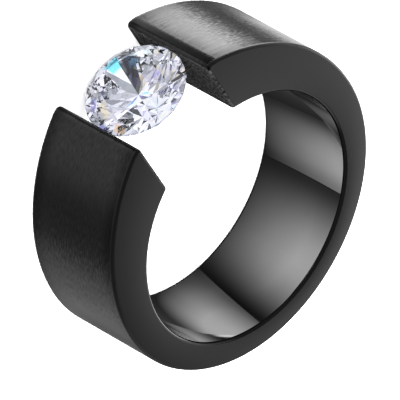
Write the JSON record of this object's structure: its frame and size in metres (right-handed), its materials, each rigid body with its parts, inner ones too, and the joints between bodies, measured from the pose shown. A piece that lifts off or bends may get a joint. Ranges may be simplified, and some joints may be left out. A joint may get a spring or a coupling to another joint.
{
  "type": "zircon ring",
  "caption": "Black steel band ring whose two thick arm ends grip a clear round brilliant by its girdle; brushed outside, satin side faces, polished finger hole.",
  "frame": {"origin": "centre of the finger hole, at the middle of the band's width", "axes": "+Z along the finger's axis, -Y from the hole's centre to the stone, +X across the gap; the ring lies on the side face at Z = -4 mm"},
  "size_m": [0.0236, 0.025, 0.008],
  "materials": {
    "black_steel": "black coated steel: brushed round the outside, satin side faces, polished finger hole",
    "clear_stone": "colourless, polished facets"
  },
  "bodies": {
    "root": {"band": "black_steel", "stone": "clear_stone"}
  },
  "joints": []
}
